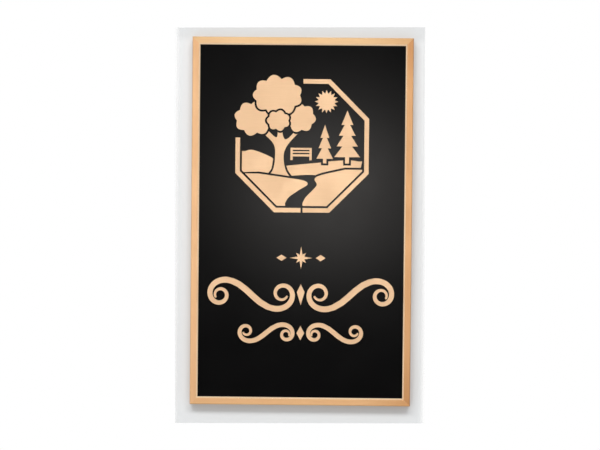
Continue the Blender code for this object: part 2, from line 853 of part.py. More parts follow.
def make_medallion(art, place):
    window = octagon(MEDALLION_ACROSS - 2 * BAND_WIDTH - 2 * ART_GAP)
    crown = make_crown(art, place)
    lawns = make_lawns(art, place, window)
    trunk = make_trunk(art, place, crown, lawns[0])
    standing = [*make_conifers(art, place), make_bench(art, place)]
    make_hills(art, place, window, trunk, lawns, standing)
    make_sun(art, place)
    make_band(art, place, crown)


# Rows of ornament


def side_pins(length):
    return [(-length / 6, 0), (length / 6, 0)]


def make_star_row(art, z):
    art.piece("star_centre", star(STAR_ACROSS, 8, 0.31, 0.62), side_pins(STAR_ACROSS / 2), (0, z))
    x = STAR_ACROSS / 2 + STAR_SIDE_GAP + SIDE_LOZENGE_LENGTH / 2
    outline = lozenge(SIDE_LOZENGE_LENGTH, SIDE_LOZENGE_HEIGHT)
    for hand, side in (("left", -1), ("right", 1)):
        art.piece(f"side_lozenge_{hand}", outline, side_pins(SIDE_LOZENGE_LENGTH), (side * x, z))


def make_scroll_row(art, name, scroll, middle, centre_piece, z):
    """Two scrolls, each the mirror image of the other, with an upright lozenge between them."""
    outline, pins, _ = scroll
    x = (middle + extent(outline)[0]) / 2
    art.piece(f"{name}_left", outline, pins, (-x, z))
    art.piece(f"{name}_right", flipped(outline), flipped(pins), (x, z))
    height = extent(centre_piece)[1]
    art.piece(f"{name}_centre", centre_piece, [(0, -height / 8), (0, height / 6)], (0, z))


def make_artwork(bronze):
    """All the artwork, block under block. Returns the places of its pins."""
    art = Artwork(bronze)
    large_width = (FIELD_WIDTH - LARGE_SCROLL_MIDDLE) / 2 - LARGE_SCROLL_MARGIN
    large = scroll_piece(large_width, LARGE_STROKE, LARGE_HAIRLINE, (-620, 560), -43, (0.3, 0.5, 0.7))
    small = scroll_piece(SMALL_SCROLL_WIDTH, SMALL_STROKE, SMALL_HAIRLINE, (560, -600), 40, (0.35, 0.65))
    heights = (MEDALLION_ACROSS, STAR_ACROSS, large[2], small[2])
    free = FIELD_HEIGHT - sum(heights)
    top = FIELD_HEIGHT / 2
    levels = []
    for height, share in zip(heights, FREE_HEIGHT_SHARES):
        top -= free * share / sum(FREE_HEIGHT_SHARES)
        levels.append(top - height / 2)
        top -= height
    make_medallion(art, (0, levels[0]))
    make_star_row(art, levels[1])
    drop = lozenge(DROP_WIDTH, DROP_HEIGHT, 0.12)
    make_scroll_row(art, "large_scroll", large, LARGE_SCROLL_MIDDLE, drop, levels[2])
    bead = lozenge(BEAD_WIDTH, BEAD_HEIGHT)
    make_scroll_row(art, "small_scroll", small, SMALL_SCROLL_MIDDLE, bead, levels[3])
    return art.pins


# Face panel


def make_face_panel(pins, black):
    """The panel behind the lip of the frame, with a hole for each pin of the artwork."""
    half_width = CAVITY_SIDE - PANEL_FIT
    half_height = CAVITY_TOP - PANEL_FIT
    mesh = plate_mesh("face_panel", rectangle(half_width, half_height), PANEL_BACK, PANEL_FRONT)
    panel = add_object("face_panel", mesh, black)
    bm = bmesh.new()
    for x, z in pins:
        ring = shifted(circle(PIN_RADIUS + SEAT_GAP, PIN_SIDES), x, z)
        back = at_depth(ring, PANEL_BACK - CUT_OVERRUN)
        front = at_depth(ring, PANEL_FRONT + CUT_OVERRUN)
        add_shell(bm, [back, front])
    boolean(panel, as_cutter(add_object("pin_holes", finished_mesh(bm, "pin_holes"), None)), "DIFFERENCE")


def main():
    clear_scene()
    bronze = satin_bronze()
    aluminium = mill_aluminium()
    steel = zinc_steel()
    bars = make_frame(bronze)
    bar_holes = {name: [] for name in bars}
    make_corners(bars, bar_holes, aluminium, steel)
    make_rails(bar_holes, steel)
    make_back_panel(bar_holes, aluminium, steel)
    for name, holes in bar_holes.items():
        drill(bars[name], f"{name}_holes", holes)
    make_face_panel(make_artwork(bronze), satin_black())


main()
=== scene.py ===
"""Dresses the framed park sign and sets it on a pale wall in a plain studio.

Laid out as an add-on and run as a script. Every length is in metres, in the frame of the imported
model: +X is the viewer's right, -Y faces the viewer, +Z is up, and the wall plane is Y = 0.
"""

import json
import math
from contextlib import contextmanager

import bmesh
import bpy
from mathutils import Matrix, Vector


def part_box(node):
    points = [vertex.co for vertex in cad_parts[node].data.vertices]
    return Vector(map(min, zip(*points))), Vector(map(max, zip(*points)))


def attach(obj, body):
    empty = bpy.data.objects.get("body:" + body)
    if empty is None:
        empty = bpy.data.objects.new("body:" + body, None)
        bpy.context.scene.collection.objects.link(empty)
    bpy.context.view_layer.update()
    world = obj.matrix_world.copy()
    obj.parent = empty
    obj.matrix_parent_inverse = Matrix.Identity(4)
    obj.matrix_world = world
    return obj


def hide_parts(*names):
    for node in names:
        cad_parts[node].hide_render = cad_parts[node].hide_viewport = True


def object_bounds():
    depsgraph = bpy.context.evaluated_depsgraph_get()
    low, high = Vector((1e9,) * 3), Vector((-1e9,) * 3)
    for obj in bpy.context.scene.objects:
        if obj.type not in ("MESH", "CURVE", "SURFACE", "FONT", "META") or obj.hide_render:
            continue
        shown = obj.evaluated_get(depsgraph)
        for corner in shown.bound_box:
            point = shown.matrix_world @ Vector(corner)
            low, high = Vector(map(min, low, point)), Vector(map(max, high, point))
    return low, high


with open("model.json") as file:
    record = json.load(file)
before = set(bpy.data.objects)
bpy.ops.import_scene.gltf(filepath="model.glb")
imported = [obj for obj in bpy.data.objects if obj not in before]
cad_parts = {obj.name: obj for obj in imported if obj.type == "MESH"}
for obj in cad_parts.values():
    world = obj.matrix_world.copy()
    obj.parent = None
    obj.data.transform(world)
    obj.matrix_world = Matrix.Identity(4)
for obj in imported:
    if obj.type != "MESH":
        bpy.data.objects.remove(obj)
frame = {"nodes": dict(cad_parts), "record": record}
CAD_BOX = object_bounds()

bl_info = {
    "name": "Framed park sign",
    "version": (1, 0, 0),
    "blender": (4, 5, 0),
    "location": "3D View > Sidebar > Park sign",
    "description": "Dresses a framed wall sign, from its bars and artwork to its fixings",
    "category": "Object",
}

NODES = frame["nodes"]
SLOTS = {part["node"]: part["material_slot"] for part in frame["record"]["subparts"]}
HALF_WIDTH = CAD_BOX[1].x
HALF_HEIGHT = CAD_BOX[1].z
FRONT = CAD_BOX[0].y
UPRIGHTS = ("frame_left", "frame_right")
BARS = ("frame_top", "frame_bottom", *UPRIGHTS)
ARTWORK = [node for node in SLOTS if SLOTS[node] == "satin_bronze" and node not in BARS]

# Longest distance between vertices that are one point of the solid
SAME_POINT = 0.00001

# Steps finer than this are merged in the fixings
SPECK = 0.000003

# Angle up to which faces are shaded as one smooth surface
SMOOTH_UNDER = math.radians(30)


# Sizes and colours that a user would change


def amount(name, description, default, **kind):
    return bpy.props.FloatProperty(name=name, description=description, default=default, min=0, **kind)


def length(name, description, default):
    return amount(name, description, default, unit="LENGTH", subtype="DISTANCE")


def colour(name, description, default):
    return bpy.props.FloatVectorProperty(
        name=name, description=description, default=default, size=3, min=0, max=1, subtype="COLOR"
    )


class SignSizes(bpy.types.PropertyGroup):
    bar_round: length("Bar edges", "Rounding of the long edges of the frame bars", 0.0002)
    mitre_line: length("Mitre line", "Width of the open line between two mitred bars", 0.00004)
    art_round: length("Artwork edges", "Rounding of the front edges of the cut artwork", 0.0003)
    cover_round: length("Back cover edges", "Rounding of the edges of the back cover", 0.0003)
    stud_pitch: length("Stud thread", "Pitch of the thread on the wall studs", 0.001)
    screw_pitch: length("Screw thread", "Pitch of the thread on the screws", 0.0005)
    recess_span: length("Driver recess", "Width across the cross recess in a screw head", 0.003)
    recess_slot: length("Recess slot", "Width of one slot of the cross recess", 0.0006)


class SignColours(bpy.types.PropertyGroup):
    # The four bar colours are lit and shaded copies of one bronze: painted light, with the top bar
    # lighter and the right bar darkest as the light falls
    frame_top: colour("Top bar", "Bronze of the top bar", (0.97, 0.650, 0.356))
    frame_bottom: colour("Bottom bar", "Bronze of the bottom bar", (0.96, 0.574, 0.285))
    frame_left: colour("Left bar", "Bronze of the left bar", (0.97, 0.588, 0.313))
    frame_right: colour("Right bar", "Bronze of the right bar", (0.845, 0.465, 0.220))
    artwork: colour("Artwork", "Bronze of the cut artwork", (0.945, 0.634, 0.387))
    # Paler bronze: wear on the worn edges, and a painted highlight on the bars' whole inner bevel
    bronze_edge: colour("Bronze edges", "Paler bronze of the burnished edges", (0.95, 0.70, 0.46))
    black: colour("Black coat", "Colour of the satin black coat", (0.0021, 0.0021, 0.0022))
    dust: colour("Dust", "Faint dust on the black coat", (0.008, 0.0075, 0.007))
    aluminium: colour("Aluminium", "Colour of the mill aluminium", (0.74, 0.75, 0.76))
    steel: colour("Zinc steel", "Colour of the zinc-plated steel", (0.55, 0.56, 0.58))
    wall: colour("Wall", "Colour of the wall round the sign", (0.61, 0.62, 0.625))
    floor: colour("Floor", "Colour of the floor", (0.70, 0.70, 0.70))


class SignStudio(bpy.types.PropertyGroup):
    key: amount("Softbox", "Power of the softbox above the camera, in watts", 268)
    glow: amount("Glow", "Brightness of the soft glow just beside the camera", 10.9)
    shade: amount("Shade", "Brightness of the shaded zone round the camera", 0.08)
    ring: amount("Ring", "Brightness of the ring round the shaded zone", 1.09)
    room: amount("Room", "Brightness of the room outside the ring", 0.50)
    sides: amount("Sides", "Brightness beside, above and below the sign", 1.06)
    rear: amount("Rear", "Brightness behind the sign", 0.62)
    fill: amount("Fill", "Share of the room's light that falls on matt surfaces", 0.83)


# Selecting and editing


def only(obj):
    """Selects one object alone, and makes it the active one."""
    bpy.ops.object.select_all(action="DESELECT")
    obj.select_set(True)
    bpy.context.view_layer.objects.active = obj


@contextmanager
def editing(obj, kind="EDGE"):
    """Edit mode on one object, with everything selected."""
    only(obj)
    bpy.ops.object.mode_set(mode="EDIT")
    bpy.ops.mesh.select_mode(type=kind)
    bpy.ops.mesh.select_all(action="SELECT")
    yield
    bpy.ops.object.mode_set(mode="OBJECT")


def pick(obj, kind, wanted):
    """In edit mode, selects only the verts, edges or faces that pass a test."""
    bpy.ops.mesh.select_all(action="DESELECT")
    shape = bmesh.from_edit_mesh(obj.data)
    for element in getattr(shape, kind):
        if wanted(element):
            element.select_set(True)
    bmesh.update_edit_mesh(obj.data)


def all_outwards():
    """In edit mode, turns every face outwards."""
    bpy.ops.mesh.select_all(action="SELECT")
    bpy.ops.mesh.normals_make_consistent(inside=False)


def primitive(name, add, scale=(1, 1, 1), **settings):
    """A new primitive, with its place, turn and scale in its mesh."""
    bpy.ops.object.select_all(action="DESELECT")
    add(**settings)
    obj = bpy.context.active_object
    obj.name = name
    obj.scale = scale
    bpy.ops.object.transform_apply(location=True, rotation=True, scale=True)
    return obj


def new_object(name, mesh):
    obj = bpy.data.objects.new(name, mesh)
    bpy.context.scene.collection.objects.link(obj)
    return obj


def apply_modifier(obj, kind, **settings):
    modifier = obj.modifiers.new(kind.lower(), kind)
    for setting, value in settings.items():
        setattr(modifier, setting, value)
    only(obj)
    bpy.ops.object.modifier_apply(modifier=modifier.name)


def combine(obj, other, operation):
    """Cuts another object out of this one, joins it on or keeps what both share, and removes it."""
    apply_modifier(obj, "BOOLEAN", object=other, operation=operation, solver="EXACT")
    bpy.data.objects.remove(other)


def without_specks(obj):
    """Merges the tiny steps that a Boolean leaves, and takes out points that only bend one edge."""
    with editing(obj, "VERT"):
        bpy.ops.mesh.remove_doubles(threshold=SPECK)
        bpy.ops.mesh.dissolve_degenerate(threshold=SPECK)
        pick(obj, "verts", lambda vertex: len(vertex.link_edges) == 2)
        bpy.ops.mesh.dissolve_verts()
        bpy.ops.mesh.select_all(action="SELECT")
        bpy.ops.mesh.delete_loose()


def joined(parts):
    """Several separate solids as one object."""
    only(parts[0])
    for part in parts[1:]:
        part.select_set(True)
    bpy.ops.object.join()
    return bpy.context.active_object


def merged_copy(node, name):
    """A copy of a CAD node, with its loose triangles merged into whole faces."""
    obj = new_object(name, NODES[node].data.copy())
    with editing(obj):
        bpy.ops.mesh.customdata_custom_splitnormals_clear()
        bpy.ops.mesh.remove_doubles(threshold=SAME_POINT)
        bpy.ops.mesh.dissolve_limited(angle_limit=math.radians(0.5))
    return obj


def merged_shape(node):
    """The mesh of a CAD node to read from, with its doubled points merged."""
    shape = bmesh.new()
    shape.from_mesh(NODES[node].data)
    bmesh.ops.remove_doubles(shape, verts=shape.verts, dist=SAME_POINT)
    return shape


def coat(obj, material):
    """Gives an object one material and no other."""
    obj.data.materials.clear()
    obj.data.materials.append(material)


def finish_piece(obj, material, nodes):
    """Shades a piece, gives it its material, and puts it in the place of its CAD nodes."""
    only(obj)
    bpy.ops.object.shade_smooth_by_angle(angle=SMOOTH_UNDER)
    apply_modifier(obj, "WEIGHTED_NORMAL", weight=100, keep_sharp=True)
    coat(obj, material)
    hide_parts(*nodes)
    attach(obj, "root")


# Building materials


def put(tree, kind, inputs=None, **settings):
    """A new node, with its settings, and with its inputs set or linked."""
    made = tree.nodes.new(kind)
    for setting, value in settings.items():
        setattr(made, setting, value)
    for name, value in (inputs or {}).items():
        if isinstance(value, bpy.types.NodeSocket):
            tree.links.new(value, made.inputs[name])
        else:
            made.inputs[name].default_value = value
    return made


def maths(tree, operation, first, second=0.5, clamp=False):
    inputs = {0: first, 1: second}
    return put(tree, "ShaderNodeMath", inputs, operation=operation, use_clamp=clamp).outputs[0]


def times(tree, first, second):
    return maths(tree, "MULTIPLY", first, second)


def weighed(tree, start, *terms):
    """A number plus several values, each times its weight."""
    total = start
    for value, weight in terms:
        inputs = {0: value, 1: weight, 2: total}
        total = put(tree, "ShaderNodeMath", inputs, operation="MULTIPLY_ADD").outputs[0]
    return total


def ranged(tree, value, low, high, to_low=0.0, to_high=1.0):
    """Maps a range of a value smoothly to another range, and clamps it there."""
    inputs = {"Value": value, "From Min": low, "From Max": high, "To Min": to_low, "To Max": to_high}
    return put(tree, "ShaderNodeMapRange", inputs, interpolation_type="SMOOTHSTEP").outputs[0]


def between(tree, factor, first, second):
    """A number between two others."""
    return put(tree, "ShaderNodeMix", {0: factor, 2: first, 3: second}, data_type="FLOAT").outputs[0]


def blended(tree, factor, first, second, **settings):
    """A colour between two others."""
    inputs = {0: factor, 6: first, 7: second}
    return put(tree, "ShaderNodeMix", inputs, data_type="RGBA", **settings).outputs[2]


def stretched(tree, vector, scale):
    return put(tree, "ShaderNodeVectorMath", {0: vector, 1: scale}, operation="MULTIPLY").outputs[0]


def measured(tree, operation, first, second=(0.0, 0.0, 0.0)):
    """A number got from vectors, such as a length or a dot product."""
    inputs = {0: first, 1: second}
    return put(tree, "ShaderNodeVectorMath", inputs, operation=operation).outputs["Value"]


def rotated(tree, vector, angle):
    """A vector turned about Y."""
    return put(tree, "ShaderNodeMapping", {"Vector": vector, "Rotation": (0.0, angle, 0.0)}).outputs[0]


def noise(tree, vector, scale, detail, roughness=0.5):
    inputs = {"Vector": vector, "Scale": scale, "Detail": detail, "Roughness": roughness}
    return put(tree, "ShaderNodeTexNoise", inputs).outputs[0]


def inset(tree, coordinate, half):
    """How far inside the edge of the sign a coordinate lies."""
    return maths(tree, "SUBTRACT", half, maths(tree, "ABSOLUTE", coordinate))


def split(tree, vector):
    return put(tree, "ShaderNodeSeparateXYZ", {0: vector}).outputs


def opaque(rgb):
    return (*rgb, 1.0)


def toned(rgb, shares):
    """A colour with its red, green and blue each times a share."""
    return opaque([value * share for value, share in zip(rgb, shares)])


def new_group(name, inputs, outputs=("Mask",)):
    """A shader node group, with numbers for all its inputs and outputs but the vector."""
    group = bpy.data.node_groups.new(name, "ShaderNodeTree")
    for label in inputs:
        kind = "NodeSocketVector" if label == "Vector" else "NodeSocketFloat"
        group.interface.new_socket(label, in_out="INPUT", socket_type=kind)
    for label in outputs:
        group.interface.new_socket(label, in_out="OUTPUT", socket_type="NodeSocketFloat")
    return group, put(group, "NodeGroupInput").outputs, put(group, "NodeGroupOutput").inputs


def group_node(tree, name, inputs):
    """The outputs of a node that uses a shader group."""
    return put(tree, "ShaderNodeGroup", inputs, node_tree=bpy.data.node_groups[name]).outputs


# Scale of the bands of a brushed finish against its fine lines
BAND_SCALE = (0.35, 0.12, 0.12)


def make_brushing():
    """Lines of a brushed finish that run along X: fine ones, and broad bands."""
    inputs = ("Vector", "Lines per metre", "Length")
    group, given, result = new_group("brushing", inputs, ("Lines", "Bands"))
    across = given["Lines per metre"]
    along = maths(group, "DIVIDE", across, given["Length"])
    scale = put(group, "ShaderNodeCombineXYZ", {"X": along, "Y": across, "Z": across}).outputs[0]
    vector = stretched(group, given["Vector"], scale)
    lines = noise(group, vector, 1.0, detail=3.0, roughness=0.6)
    bands = noise(group, stretched(group, vector, BAND_SCALE), 1.0, detail=2.0)
    group.links.new(ranged(group, lines, 0.25, 0.75), result["Lines"])
    group.links.new(ranged(group, bands, 0.3, 0.7), result["Bands"])


def make_clouds():
    """Soft uneven patches of tone, as metal gets from handling and weather."""
    group, given, result = new_group("clouds", ("Vector", "Patches per metre"))
    patches = noise(group, given["Vector"], given["Patches per metre"], detail=4.0, roughness=0.55)
    group.links.new(ranged(group, patches, 0.34, 0.66), result["Mask"])


def make_worn_edges():
    """Where a surface turns over an edge within a small radius."""
    group, given, result = new_group("worn_edges", ("Radius", "Contrast"))
    rounded = put(group, "ShaderNodeBevel", {"Radius": given["Radius"]}, samples=4).outputs[0]
    normal = put(group, "ShaderNodeNewGeometry").outputs["Normal"]
    turned_away = maths(group, "SUBTRACT", 1.0, measured(group, "DOT_PRODUCT", rounded, normal))
    worn = maths(group, "MULTIPLY", turned_away, given["Contrast"], clamp=True)
    group.links.new(worn, result["Mask"])


def make_painted_corner_shade():
    """Painted shade that gathers round the corners of the sign, most of it on the right."""
    group, given, result = new_group("corner_tarnish", ("Vector", "Reach", "Least"))
    x, _, z = split(group, given["Vector"])
    offsets = {"X": inset(group, x, HALF_WIDTH), "Z": inset(group, z, HALF_HEIGHT)}
    offset = put(group, "ShaderNodeCombineXYZ", offsets).outputs[0]
    near = ranged(group, measured(group, "LENGTH", offset), 0.0, given["Reach"], 1.0, 0.0)
    rightwards = ranged(group, x, -HALF_WIDTH, HALF_WIDTH, given["Least"], 1.0)
    group.links.new(times(group, near, rightwards), result["Mask"])


# What is the same all over a material
METAL = {"Metallic": 1.0}
BLACK_COAT = {"Specular IOR Level": 0.095, "Specular Tint": (1.0, 0.95, 0.91, 1.0)}
WALL_PAINT = {"Roughness": 0.9, "Specular IOR Level": 0.1}
FLOOR_PAINT = {"Roughness": 0.8}

FINE_BUMP = 0.000006
COARSE_BUMP = 0.00001

# Darker tones of the bronze, as shares of red, green and blue: in its mottle and painted corner shade,
# and on its rim, where it is painted shade as well as dullness
DARKER_BRONZE = (0.90, 0.84, 0.79)
RIM_DULL_AND_SHADED_BRONZE = (0.60, 0.57, 0.53)

# How dull and how shaded the bars' rims are, in their order, and where they fade into the face: painted
# shade, least on the top bar and most on the bottom and right bars
RIM_DULLNESS_AND_SHADE = dict(zip(BARS, (0.3, 0.9, 0.7, 0.9)))
RIM_FADE = (0.0004, 0.0024)

# Where a bar's normal times its place is below this, its surface leans in
LEANING_IN = -0.05

# Specks of dust: their cells per metre, their size, and the chance above which a cell has one
SPECK_CELLS = 240.0
SPECK_SIZE = 0.10
SPECK_CHANCE = 0.72

# Tones of the aluminium: its dull bands as shares, and its scuffs
DULL_ALUMINIUM = (0.78, 0.78, 0.78)
SCUFFED_ALUMINIUM = (0.72, 0.72, 0.73)

# Scuffs: their two directions, each with the noise at which one starts, their edge and their form
SCUFFS = ((0.5, 0.70), (-1.1, 0.72))
SCUFF_EDGE = 0.03
SCUFF_SCALE = (0.06, 1.0, 2.6)

# Tones of the zinc: its yellow and blue patches as shares, and its worn edges
YELLOW_ZINC = (1.04, 0.99, 0.86)
BLUE_ZINC = (0.92, 0.97, 1.05)
WORN_ZINC = (0.74, 0.74, 0.75)


def start_material(name, constants):
    """A new material. Returns it with its node tree, its shader and its object coordinates."""
    material = bpy.data.materials.new(name)
    material.use_nodes = True
    tree = material.node_tree
    shader = tree.nodes["Principled BSDF"]
    for label, value in constants.items():
        shader.inputs[label].default_value = value
    return material, tree, shader, put(tree, "ShaderNodeTexCoord").outputs["Object"]


def connect(tree, shader, base, roughness, height, distance, strength=1.0):
    """Feeds a colour, a roughness and the height of a bump to the shader."""
    bump = put(tree, "ShaderNodeBump", {"Height": height, "Distance": distance, "Strength": strength})
    tree.links.new(base, shader.inputs["Base Color"])
    tree.links.new(roughness, shader.inputs["Roughness"])
    tree.links.new(bump.outputs[0], shader.inputs["Normal"])


def cloud_mask(tree, place, patches):
    """The mask of the clouds, with a number of patches per metre."""
    return group_node(tree, "clouds", {"Vector": place, "Patches per metre": patches})["Mask"]


def facing_inward(tree, place):
    """Where a bar's surface leans to the middle of the sign: its polished bevel, which gets a painted
    highlight.
    """
    normal = put(tree, "ShaderNodeNewGeometry").outputs["Normal"]
    from_middle = stretched(tree, place, (1.0, 0.0, 1.0))
    return maths(tree, "LESS_THAN", measured(tree, "DOT_PRODUCT", normal, from_middle), LEANING_IN)


def outer_rim(tree, place, bar):
    """The sides of a bar and the outermost part of its face, which no brush has polished, and which get
    painted shade.
    """
    x, _, z = split(tree, place)
    from_edge = inset(tree, x, HALF_WIDTH) if bar in UPRIGHTS else inset(tree, z, HALF_HEIGHT)
    return ranged(tree, from_edge, *RIM_FADE, 1.0, 0.0)


def make_bronze(piece, colours):
    """Satin bronze, brushed along X or up an upright bar. Bars have a polished bevel with a painted
    highlight, and a dull rim with painted shade.
    """
    material, tree, shader, place = start_material("bronze_" + piece, METAL)
    # On a bar, the tone holds painted light: the bar's bronze is lighter or darker by how the light
    # falls on it
    tone = getattr(colours, piece)
    along = rotated(tree, place, math.pi / 2 if piece in UPRIGHTS else 0.0)
    grain = group_node(tree, "brushing", {"Vector": along, "Lines per metre": 5200.0, "Length": 320.0})
    clouds = cloud_mask(tree, place, 16.0)
    edges = group_node(tree, "worn_edges", {"Radius": 0.0005, "Contrast": 3.0})["Mask"]
    # Painted shade, darker towards the corners and on the right side, where less light falls
    inputs = {"Vector": place, "Reach": 0.13, "Least": 0.25}
    shade_at_corners = group_node(tree, "corner_tarnish", inputs)["Mask"]
    shade = weighed(tree, 0.0, (clouds, 0.24), (grain["Bands"], 0.10), (shade_at_corners, 1.3))
    base = blended(tree, shade, opaque(tone), toned(tone, DARKER_BRONZE), clamp_factor=False)
    # Paler bronze: wear on the worn edges, and a painted highlight on a bar's whole inner bevel
    polish_and_highlight = times(tree, edges, 0.6)
    if piece in BARS:
        polish_and_highlight = maths(tree, "MAXIMUM", polish_and_highlight, facing_inward(tree, place))
    base = blended(tree, polish_and_highlight, base, opaque(colours.bronze_edge))
    glint = weighed(tree, 1.035, (grain["Lines"], -0.10))
    base = put(tree, "ShaderNodeVectorMath", {0: base, "Scale": glint}, operation="SCALE").outputs[0]
    # The rim is painted shade as well as unpolished: darkest where it faces down, out of the light
    if piece in BARS:
        rim = times(tree, outer_rim(tree, place, piece), RIM_DULLNESS_AND_SHADE[piece])
        base = blended(tree, rim, base, opaque(RIM_DULL_AND_SHADED_BRONZE), blend_type="MULTIPLY")
    rough = weighed(tree, 0.29, (grain["Lines"], 0.10), (clouds, 0.04), (polish_and_highlight, -0.06))
    connect(tree, shader, base, rough, grain["Lines"], FINE_BUMP)
    return material


def dust_specks(tree, place):
    """Small scattered specks, in only a few of the cells."""
    cells = put(tree, "ShaderNodeTexVoronoi", {"Vector": place, "Scale": SPECK_CELLS}).outputs
    chance = put(tree, "ShaderNodeSeparateColor", {"Color": cells["Color"]}).outputs[0]
    near = maths(tree, "LESS_THAN", cells["Distance"], SPECK_SIZE)
    return times(tree, near, maths(tree, "GREATER_THAN", chance, SPECK_CHANCE))


def make_black(colours):
    """Satin black coat: faintly uneven like sprayed paint, with a trace of dust."""
    material, tree, shader, place = start_material("black_coat", BLACK_COAT)
    peel = noise(tree, place, 900.0, detail=2.0)
    clouds = cloud_mask(tree, place, 9.0)
    dust = weighed(tree, 0.0, (dust_specks(tree, place), 0.5), (clouds, 0.04))
    base = blended(tree, dust, opaque(colours.black), opaque(colours.dust))
    connect(tree, shader, base, weighed(tree, 0.13, (clouds, 0.02)), peel, COARSE_BUMP, strength=0.4)
    return material


def thin_scuffs(tree, place):
    """Long thin scratches in two directions, with most of the surface left clear."""
    masks = []
    for turn, cut in SCUFFS:
        vector = stretched(tree, rotated(tree, place, turn), SCUFF_SCALE)
        masks.append(ranged(tree, noise(tree, vector, 70.0, detail=1.0), cut, cut + SCUFF_EDGE))
    return maths(tree, "MAXIMUM", *masks)


def make_aluminium(colours):
    """Mill aluminium: upright rolling lines and a few scuffs."""
    material, tree, shader, place = start_material("rolled_aluminium", METAL)
    along = rotated(tree, place, math.pi / 2)
    grain = group_node(tree, "brushing", {"Vector": along, "Lines per metre": 900.0, "Length": 160.0})
    scuffs = thin_scuffs(tree, place)
    shade = weighed(tree, 0.0, (cloud_mask(tree, place, 7.0), 0.45), (grain["Bands"], 0.35))
    dull = toned(colours.aluminium, DULL_ALUMINIUM)
    base = blended(tree, shade, opaque(colours.aluminium), dull)
    base = blended(tree, times(tree, scuffs, 0.35), base, opaque(SCUFFED_ALUMINIUM))
    rough = weighed(tree, 0.34, (grain["Lines"], 0.16), (scuffs, -0.10))
    connect(tree, shader, base, rough, grain["Lines"], COARSE_BUMP)
    return material


def make_steel(colours):
    """Zinc-plated steel: a fine grain with faint yellow and blue patches."""
    material, tree, shader, place = start_material("zinc_plated_steel", METAL)
    yellow = cloud_mask(tree, place, 180.0)
    blue = cloud_mask(tree, stretched(tree, place, (1.0, 1.0, -1.0)), 90.0)
    edges = group_node(tree, "worn_edges", {"Radius": 0.0003, "Contrast": 3.0})["Mask"]
    base = blended(tree, yellow, opaque(colours.steel), toned(colours.steel, YELLOW_ZINC))
    base = blended(tree, times(tree, blue, 0.5), base, toned(colours.steel, BLUE_ZINC))
    base = blended(tree, times(tree, edges, 0.6), base, opaque(WORN_ZINC))
    rough = weighed(tree, 0.22, (yellow, 0.12))
    connect(tree, shader, base, rough, noise(tree, place, 3000.0, detail=2.0), FINE_BUMP)
    return material


def make_materials(colours):
    for make_group in (make_painted_corner_shade, make_brushing, make_clouds, make_worn_edges):
        make_group()
    made = {piece: make_bronze(piece, colours) for piece in ("artwork", *BARS)}
    made["black"] = make_black(colours)
    made["aluminium"] = make_aluminium(colours)
    made["steel"] = make_steel(colours)
    return made


MATERIALS = {}


def finish(name):
    """A finish by its short name. All are made when the first is asked for."""
    if not MATERIALS:
        MATERIALS.update(make_materials(bpy.context.scene.park_sign_colours))
    return MATERIALS[name]


# Frame bars

# Edges of a bar that turn by more than this are rounded
BAR_CORNER = math.radians(20)


def to_mitre(point):
    """Distance of a point, along its bar, from the line that the corner's mitre follows."""
    return abs((abs(point.x) - HALF_WIDTH) - (abs(point.z) - HALF_HEIGHT))


def close_mitres(bar, across, line):
    """Draws the ends of a bar out until only a fine line is left open at each mitre."""
    open_now = min(to_mitre(vertex.co) for vertex in bar.data.vertices)
    reach = open_now - line / math.sqrt(2)
    for vertex in bar.data.vertices:
        if to_mitre(vertex.co) < open_now + SAME_POINT:
            if across:
                vertex.co.x += math.copysign(reach, vertex.co.x)
            else:
                vertex.co.z += math.copysign(reach, vertex.co.z)


def make_frame_bars(sizes):
    for node in BARS:
        across = node not in UPRIGHTS
        bar = merged_copy(node, node + "_bar")
        close_mitres(bar, across, sizes.mitre_line)
        longest = HALF_WIDTH if across else HALF_HEIGHT
        at_mitre = sizes.mitre_line + SAME_POINT

        def outer_edge(edge):
            at_end = all(to_mitre(vertex.co) < at_mitre for vertex in edge.verts)
            sharp = edge.calc_face_angle(0) > BAR_CORNER
            return sharp and (at_end or edge.calc_length() > longest)

        with editing(bar):
            pick(bar, "edges", outer_edge)
            bpy.ops.mesh.bevel(offset=sizes.bar_round, segments=3, clamp_overlap=False)
        finish_piece(bar, finish(node), [node])


# Artwork

# Outlines of cut pieces: what counts as a corner, as a straight cut and as one fine step
CORNER = math.radians(40)
STRAIGHT = 0.012
FINE_STEP = 0.0009
SHORTEST_STEP = 0.00015

# Front edges of a plate that turn by more than this are rounded
PLATE_CORNER = math.radians(60)

# Depth of the back of the plates, and how far their pins reach into them
PLATE_BACK = -0.016
PIN_BEDDING = 0.0008

# The round tip of a pin: places from its end, and the share of its radius at each
PIN_TIP = ((-0.0004, 1), (-0.0001, 0.88), (0, 0.6))
PIN_SIDES = 20


def at_front(element):
    """Whether an edge or a face lies in the front of the sign."""
    return all(vertex.co.y < FRONT + SAME_POINT for vertex in element.verts)


def front_outlines(node):
    """Closed outlines, as lists of points, of the front of a flat-cut CAD node."""
    shape = merged_shape(node)
    front = {face for face in shape.faces if at_front(face)}
    following = {}
    for face in front:
        for loop in face.loops:
            if sum(other in front for other in loop.edge.link_faces) == 1:
                following[loop.vert] = loop.link_loop_next.vert
    outlines = []
    while following:
        vertex = next(iter(following))
        outline = []
        while vertex in following:
            outline.append(Vector((vertex.co.x, vertex.co.z)))
            vertex = following.pop(vertex)
        outlines.append(outline)
    shape.free()
    return outlines


def without_short_steps(outline):
    kept = []
    for point in outline:
        if not kept or (point - kept[-1]).length > SHORTEST_STEP:
            kept.append(point)
    if (kept[0] - kept[-1]).length <= SHORTEST_STEP:
        kept.pop()
    return kept


def tangent(before, point, after):
    """Direction of a smooth outline at a point, or None at a corner."""
    first = point - before
    second = after - point
    if first.angle(second) > CORNER:
        return None
    return (first.normalized() / first.length + second.normalized() / second.length).normalized()


